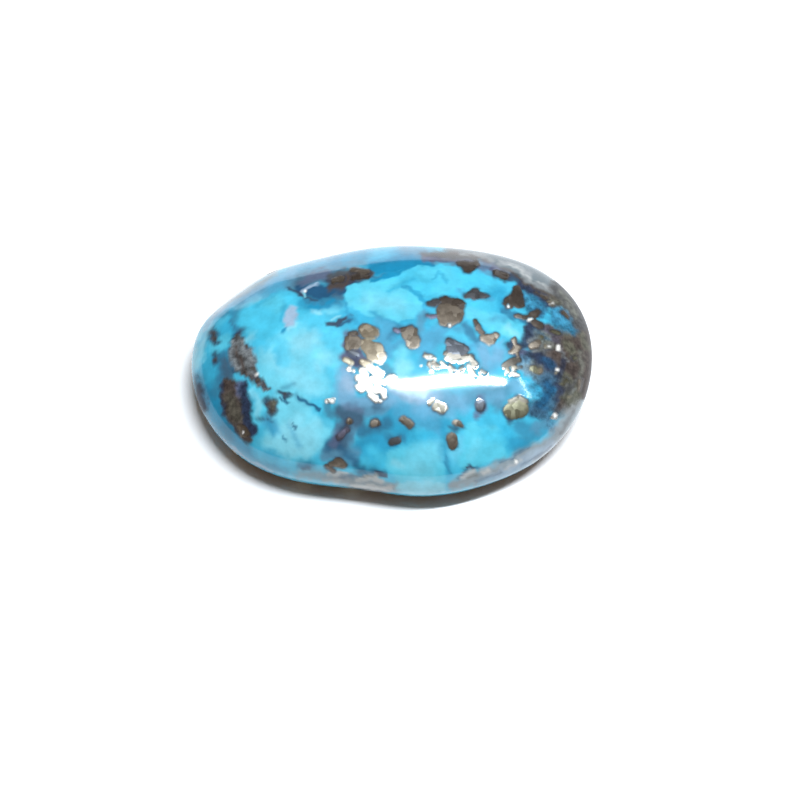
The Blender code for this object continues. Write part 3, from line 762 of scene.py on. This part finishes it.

# Grains along the middle of the stone and in its right half. Many carry the darker copies of the brass
# tones, painted shade.
MIDDLE_GRAINS = (
    (SHADED_GOLD, (425, 355, 2), (430, 357, 3), (434, 358, 2)),
    (SHADED_BRONZE, (434, 363, 3), (438, 366, 2.5)),
    (SHADED_BRONZE, (429, 364, 2), (431, 370, 1.6)),
    (SHADED_GOLD, (441, 361, 1.6), (444, 365, 2)),
    (SHADED_STEEL, (449, 342, 5), (454, 348, 7), (463, 350, 6)),
    (SHADED_BRONZE, (446, 353, 3), (455, 357, 4), (466, 357, 4)),
    (SHADED_GOLD, (446, 358, 1.6), (452, 361, 1.8)),
    (SHADED_BRONZE, (450, 366, 2), (455, 370, 2)),
    (SHADED_GOLD, (459, 362, 1.8), (464, 361, 1.4)),
    (SHADED_BRONZE, (461, 368, 2.4)),
    (SHADED_BRONZE, (471, 358, 4), (474, 364, 3.5)),
    (SHADED_GOLD, (468, 366, 2), (472, 371, 2), (476, 376, 1.6)),
    (SHADED_BRONZE, (481, 370, 1.6), (486, 373, 2)),
    (DULL_BRONZE, (483, 338, 4), (489, 340, 6), (496, 336, 3.5)),
    (DARK_AND_SHADED_BRONZE, (475, 321, 2), (479, 329, 3.5), (482, 333, 3)),
    (DARK_AND_SHADED_BRONZE, (517, 289, 4), (516, 297, 7), (509, 303, 6)),
    (DARK_AND_SHADED_BRONZE, (519, 303, 6.5)),
    (HIGHLIGHT_WHITE_METAL, (508, 306, 1.8)),
    (DARK_AND_SHADED_BRONZE, (516, 315, 2), (524, 318, 3), (532, 316, 4.5), (538, 312, 3.5)),
    (HIGHLIGHT_WHITE_METAL, (530, 319.5, 2.2)),
    (DARK_AND_SHADED_BRONZE, (534, 322, 4), (540, 326, 4)),
    (SHADED_BRONZE, (505, 366, 3.5), (512, 362, 4.5), (519, 360, 3)),
    (SHADED_GOLD, (507, 371, 3)),
    (SHADED_GOLD, (514, 368, 3)),
    (SHADED_BRONZE, (520, 367, 2)),
    (HIGHLIGHT_WHITE_METAL, (512, 374, 2.5), (518, 375, 2)),
    (DULL_BRONZE, (512, 352, 2.5), (517, 348, 4)),
    (SHADED_OLIVE, (511, 411, 8), (519, 409, 10)),
    (SHADED_GOLD, (511, 402, 3), (518, 398, 3.5), (526, 402, 3)),
    (SHADED_GOLD, (437, 407, 5.5), (443, 409, 5)),
    (SHADED_GOLD, (429, 404, 2.4), (433, 401, 2.4)),
    (SHADED_STEEL, (481, 403, 4), (480, 408, 4.5)),
    (DULL_BRONZE, (403, 420, 4), (410, 425, 4.5)),
    (DULL_BRONZE, (372, 424, 3.5), (376, 423, 4)),
    (DULL_BRONZE, (349, 422, 4)),
    (STEEL_VIOLET, (346, 431, 3.5), (339, 437, 3)),
    (DULL_BRONZE, (456, 423, 3.5), (461, 426, 3)),
    (DULL_BRONZE, (452, 438, 5.5), (453, 445, 5)),
    (DARK_STEEL, (392, 442, 4), (399, 440, 4)),
)
grains(MIDDLE_GRAINS)

# Grains along the back rim and in the rock of the right end. The white points and the pale gold round
# them are painted glints, and the olive grains carry painted shade.
RIM_AND_ROCK_GRAINS = (
    (DARK_AND_SHADED_BRONZE, (459, 264, 3), (468, 267, 6.5), (476, 264, 3.5)),
    (DARK_AND_SHADED_BRONZE, (496, 273, 4), (505, 277, 4.5)),
    (DULL_BRONZE, (352, 271, 2.5), (363, 272, 3.5), (368, 272, 2.5)),
    (DARK_AND_SHADED_BRONZE, (354, 277, 3), (366, 277, 3)),
    (DULL_BRONZE, (334, 281, 3), (342, 279, 3.5)),
    (HIGHLIGHT_WHITE_METAL, (552, 303, 1.3)),
    (PALE_GOLD_AND_GLINT, (549, 301, 2), (553, 305, 2)),
    (HIGHLIGHT_WHITE_METAL, (558.5, 348, 2.6)),
    (PALE_GOLD_AND_GLINT, (545, 346, 2), (549, 347, 2)),
    (PALE_GOLD_AND_GLINT, (557, 370, 1.6), (555, 374, 1.2)),
    (PALE_GOLD_AND_GLINT, (569, 397, 1.6)),
    (HIGHLIGHT_WHITE_METAL, (555, 416, 3), (551, 418, 1.5)),
    (BRONZE, (540, 371, 3)),
    (DULL_BRONZE, (533, 346, 4), (539, 342, 3)),
    (SHADED_OLIVE, (541, 337, 3)),
    (SHADED_OLIVE, (562, 384, 2.5), (566, 380, 2)),
    (SHADED_OLIVE, (552, 331, 2), (559, 333, 2)),
    (SHADED_OLIVE, (575, 358, 2)),
    (SHADED_OLIVE, (534, 368, 4), (538, 372, 3)),
    (DULL_BRONZE, (536, 292, 2), (546, 298, 2.5)),
    (DULL_BRONZE, (562, 312, 2), (568, 318, 2)),
    (DULL_BRONZE, (580, 380, 2), (578, 390, 2)),
    (DULL_BRONZE, (514, 340, 2), (518, 358, 2)),
)
grains(RIM_AND_ROCK_GRAINS)

# Grains in and around the brown seam, and one patch at the front rim.
LEFT_GRAINS = (
    (BRONZE, (247, 347, 1.6)),
    (BRONZE, (252, 369, 1.8)),
    (BRONZE, (258, 380, 2)),
    (BRONZE, (264, 386, 2)),
    (DULL_BRONZE, (241, 428, 4), (245, 433, 5)),
    (HIGHLIGHT_WHITE_METAL, (243, 432, 1.8)),
    (HIGHLIGHT_WHITE_METAL, (256, 375, 1.6)),
    (HIGHLIGHT_WHITE_METAL, (327, 401, 1.5), (334, 400, 2)),
    (DULL_BRONZE, (330, 464, 3), (338, 463, 5), (344, 466, 3.5)),
    (DARK_AND_SHADED_BRONZE, (326, 466, 2), (334, 471, 2)),
)
grains(LEFT_GRAINS)

# Grains on the hidden sides, by chance, in the sizes that the picture shows: many small, few large.
HIDDEN_GRAINS = 130
HIDDEN_METALS = (BRONZE, DULL_BRONZE, DARK_AND_SHADED_BRONZE, DARK_AND_SHADED_BRONZE, PALE_GOLD_AND_GLINT, STEEL_VIOLET)
SMALLEST_GRAIN = 0.08
GRAIN_GROWTH = 0.45
GRAIN_RARITY = 3
GRAIN_STRETCH = 1.5
GRAIN_TAPER = 0.7

for _ in range(HIDDEN_GRAINS):
    colour = chance.choice(HIDDEN_METALS)
    radius = SMALLEST_GRAIN + GRAIN_GROWTH * chance.random() ** GRAIN_RARITY
    start = places[chance.choice(hidden)]
    run = radius * np.array([chance.uniform(-GRAIN_STRETCH, GRAIN_STRETCH) for _ in range(3)])
    beads = [(start, radius), (start + run, GRAIN_TAPER * radius)]
    set_grain(colour, depth_in_chain(grain_places, beads))

# Dark blue rock fills the joint around most grains, unevenly.
JOINT_WIDTH = 0.12
JOINT_STRENGTH = 0.75
JOINT_WAVER = 1.2
JOINT_WAVER_SIZE = 0.6

unevenness = np.clip(0.5 + JOINT_WAVER * wavering(places, JOINT_WAVER_SIZE, seed=5), 0, 1)
joint = np.clip(1 + grain_depth / JOINT_WIDTH, 0, 1) * unevenness
tint(NAVY, JOINT_STRENGTH * joint)

# Bright points glint on the grains and in the rock. They are painted highlights, glints of the lamps
# painted white into the colour, so they are white from any side.
PAINTED_GLINT_WHITE = linear("#F2F1EC")
GLINT_SOFTNESS = 0.12
PAINTED_GLINTS = (
    (449.5, 325, 2.0),
    (508, 306, 1.8),
    (530, 319.5, 2.3),
    (558.5, 348, 2.8),
    (557, 370, 1.6),
    (552, 303, 1.3),
    (555, 416, 2.4),
    (549, 346.5, 1.3),
    (243, 432, 1.9),
    (256, 375, 1.6),
    (327, 401.5, 1.6),
    (333, 400.5, 2.0),
    (305, 291, 1.2),
    (430, 357, 1.6),
    (421, 366, 1.4),
    (516, 462, 1.5),
)
for glint_disc in PAINTED_GLINTS:
    depth = depth_in_discs(grains_in_picture, [glint_disc])
    grain_depth = np.where(facing_camera > 0, np.minimum(grain_depth, -depth), grain_depth)
    tint(PAINTED_GLINT_WHITE, seen_share * cover(depth, GLINT_SOFTNESS))

# The grains stand proud, but not those on the flat back, which the stone lies on.
FLAT_BACK_FACING = -0.5
RISE_SOFTNESS = 0.12

for vert, normal, depth in zip(body.verts, facings, grain_depth):
    if normal[2] > FLAT_BACK_FACING:
        vert.co += Vector(normal) * GRAIN_RISE * MM * float(cover(depth, RISE_SOFTNESS))

skin = bpy.data.meshes.new("turquoise_skin")
body.to_mesh(skin)
body.free()
skin.shade_smooth()
for name, colours in (("body_colour", body_colour), ("grain_colour", grain_colour)):
    layer = skin.attributes.new(name, "FLOAT_COLOR", "POINT")
    layer.data.foreach_set("color", np.column_stack([colours, np.ones(len(colours))]).ravel())
for name, values in (("grain_depth", grain_depth), ("dullness", dullness)):
    layer = skin.attributes.new(name, "FLOAT", "POINT")
    layer.data.foreach_set("value", values)
stone = bpy.data.objects.new("polished_stone", skin)
bpy.context.scene.collection.objects.link(stone)


# The finish. Turquoise takes a wax-like polish that mirrors the lights, and the porous rock in it a
# duller one. The pyrite was ground flat on the same wheel, but its crystals break the gloss up.
TURQUOISE_IOR = 1.62
TURQUOISE_ROUGHNESS = 0.09
TURQUOISE_SPECULAR = 0.5
ROCK_ROUGHNESS = 0.35
ROCK_SPECULAR = 0.1
PYRITE_ROUGHNESS = 0.38
CRYSTAL_TILT = 0.12
OUTLINE_SOFTNESS = 0.055
MOTTLE_MM = 0.9
ROCK_SPECKLE_MM = 0.28
CRYSTAL_MM = 0.35

material = bpy.data.materials.new("polished_turquoise_with_pyrite")
material.use_nodes = True
nodes = material.node_tree.nodes
nodes.clear()


def add(kind, sockets=(), links=(), output=0, **settings):
    """Adds a shader node with its settings, socket values and links, and gives back one output."""
    node = nodes.new("ShaderNode" + kind)
    for name, value in settings.items():
        setattr(node, name, value)
    for name, value in dict(sockets).items():
        node.inputs[name].default_value = value
    for name, source in dict(links).items():
        node.id_data.links.new(source, node.inputs[name])
    return node.outputs[output] if node.outputs else None


def per_size(size_mm):
    """The scale that makes a texture in Object coordinates repeat about once in a size."""
    return 1 / (size_mm * MM)


where = add("TexCoord", output="Object")
body_tone = add("Attribute", output="Color", attribute_name="body_colour")
metal_tone = add("Attribute", output="Color", attribute_name="grain_colour")
depth = add("Attribute", output="Fac", attribute_name="grain_depth")
dull = add("Attribute", output="Fac", attribute_name="dullness")

# Faint mottling in the blue, finer than the clouds: it runs a little deeper and a little paler.
mottle = add(
    "TexNoise",
    {"Scale": per_size(MOTTLE_MM), "Detail": 5.0, "Roughness": 0.6},
    {"Vector": where},
)
brightness = add(
    "MapRange",
    {"From Min": 0.3, "From Max": 0.7, "To Min": 0.82, "To Max": 1.12},
    {"Value": mottle},
)

# The rock is coarser than the turquoise: it is speckled dark and light at the size of its own grains.
speckle = add(
    "TexNoise",
    {"Scale": per_size(ROCK_SPECKLE_MM), "Detail": 4.0, "Roughness": 0.65},
    {"Vector": where},
)
rock_brightness = add(
    "MapRange",
    {"From Min": 0.35, "From Max": 0.65, "To Min": 0.5, "To Max": 1.2},
    {"Value": speckle},
)
brightness_in_all = add("Mix", {}, {"Factor": dull, "A": brightness, "B": rock_brightness})
mottled = add("VectorMath", {}, {0: body_tone, "Scale": brightness_in_all}, operation="SCALE")
roughness = add("MapRange", {"To Min": TURQUOISE_ROUGHNESS, "To Max": ROCK_ROUGHNESS}, {"Value": dull})
specular = add("MapRange", {"To Min": TURQUOISE_SPECULAR, "To Max": ROCK_SPECULAR}, {"Value": dull})
stone_shader = add(
    "BsdfPrincipled",
    {"IOR": TURQUOISE_IOR},
    {"Base Color": mottled, "Roughness": roughness, "Specular IOR Level": specular},
)

# The metal is a mass of small crystals ground flat. Each lies at its own slight tilt, so one glints and
# the next stays dark, and the mass is patchy in tone. It is a little darker at its edge, a painted shade
# where the ground grain's edge rounds off.
crystals = add(
    "TexVoronoi",
    {"Scale": per_size(CRYSTAL_MM), "Randomness": 1.0},
    {"Vector": where},
    output="Color",
    feature="F1",
)
tilt = add("VectorMath", {1: (-0.5, -0.5, -0.5)}, {0: crystals}, operation="ADD")
small_tilt = add("VectorMath", {"Scale": CRYSTAL_TILT}, {0: tilt}, operation="SCALE")
skin_facing = add("NewGeometry", output="Normal")
tilted = add("VectorMath", {}, {0: small_tilt, 1: skin_facing}, operation="ADD")
crystal_facing = add("VectorMath", {}, {0: tilted}, operation="NORMALIZE")
patches = add(
    "TexNoise",
    {"Scale": per_size(CRYSTAL_MM), "Detail": 4.0, "Roughness": 0.6},
    {"Vector": where},
)
patchy = add(
    "MapRange",
    {"From Min": 0.3, "From Max": 0.65, "To Min": 0.7, "To Max": 1.0},
    {"Value": patches},
)
edge_shade = add(
    "MapRange",
    {"From Min": 0.0, "From Max": 0.08, "To Min": 0.6, "To Max": 1.0},
    {"Value": depth},
)
shade = add("Math", {}, {0: patchy, 1: edge_shade}, operation="MULTIPLY")
metal_colour = add("VectorMath", {}, {0: metal_tone, "Scale": shade}, operation="SCALE")
metal_shader = add(
    "BsdfPrincipled",
    {"Metallic": 1.0, "Roughness": PYRITE_ROUGHNESS},
    {"Base Color": metal_colour, "Normal": crystal_facing},
)

# The grains' outlines are frayed by a few hundredths of a millimetre.
fray = add("Math", {1: 0.2, 2: -0.1}, {0: patches}, operation="MULTIPLY_ADD")
frayed = add("Math", {}, {0: depth, 1: fray}, operation="ADD")
edge = add("MapRange", {"From Min": -OUTLINE_SOFTNESS, "From Max": OUTLINE_SOFTNESS}, {"Value": frayed})
surface = add("MixShader", {}, {"Fac": edge, 1: stone_shader, 2: metal_shader})
add("OutputMaterial", {}, {"Surface": surface})
skin.materials.append(material)
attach(stone, "root")
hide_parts("turquoise_nugget")


# The table under the stone. It is a plain white board, smooth but not glossy, and wide enough to fill
# the picture and to be mirrored in the stone's rim. It belongs to the studio and not to the stone.
TABLE_REACH = 600 * MM
BOARD_WHITE = linear("#F3F3F4")
BOARD_ROUGHNESS = 0.6

table_form = bmesh.new()
bmesh.ops.create_grid(table_form, x_segments=1, y_segments=1, size=TABLE_REACH)
table_mesh = bpy.data.meshes.new("table")
table_form.to_mesh(table_mesh)
table_form.free()
table = bpy.data.objects.new("table", table_mesh)
bpy.context.scene.collection.objects.link(table)
white_board = bpy.data.materials.new("white_board")
white_board.use_nodes = True
board_shader = white_board.node_tree.nodes["Principled BSDF"]
board_shader.inputs["Base Color"].default_value = (*BOARD_WHITE, 1)
board_shader.inputs["Roughness"].default_value = BOARD_ROUGHNESS
table_mesh.materials.append(white_board)


# The studio light. One long tube hangs over the stone and runs off to the right, and draws the white
# streak along the top. A short lamp farther right draws the small slanting streak at the right end. A
# pale ceiling, set back behind them, and a dim warm room fill the shadows a little.
def hang_lamp(name, shape, length, width, watts, place, turn=0.0, colour=(1, 1, 1)):
    """Hangs a lamp that shines straight down, turned about the upright; its sizes are in metres."""
    lamp = bpy.data.lights.new(name, "AREA")
    lamp.shape = shape
    lamp.size = length
    lamp.size_y = width
    lamp.energy = watts
    lamp.color = colour
    holder = bpy.data.objects.new(name, lamp)
    holder.location = place
    holder.rotation_euler = (0, 0, turn)
    bpy.context.scene.collection.objects.link(holder)


hang_lamp(
    "tube",
    "RECTANGLE",
    length=0.38,
    width=0.036,
    watts=4.9,
    place=(0.155, 0.02, 0.5),
    turn=math.radians(13.5),
    colour=linear("#F0F8FF"),
)
hang_lamp(
    "side_lamp",
    "RECTANGLE",
    length=0.18,
    width=0.020,
    watts=0.22,
    place=(0.525, 0.038, 0.5),
    turn=math.radians(-48),
)
hang_lamp("ceiling", "DISK", length=1.8, width=1.8, watts=2.5, place=(0, 0.6, 1.2))

ROOM_BRIGHTNESS = 0.17
ROOM_COLOUR = linear("#FFDDB8")

room = bpy.data.worlds.new("room")
room.use_nodes = True
room.node_tree.nodes["Background"].inputs["Color"].default_value = (*ROOM_COLOUR, 1)
room.node_tree.nodes["Background"].inputs["Strength"].default_value = ROOM_BRIGHTNESS
bpy.context.scene.world = room
bpy.context.scene.view_settings.view_transform = "Standard"
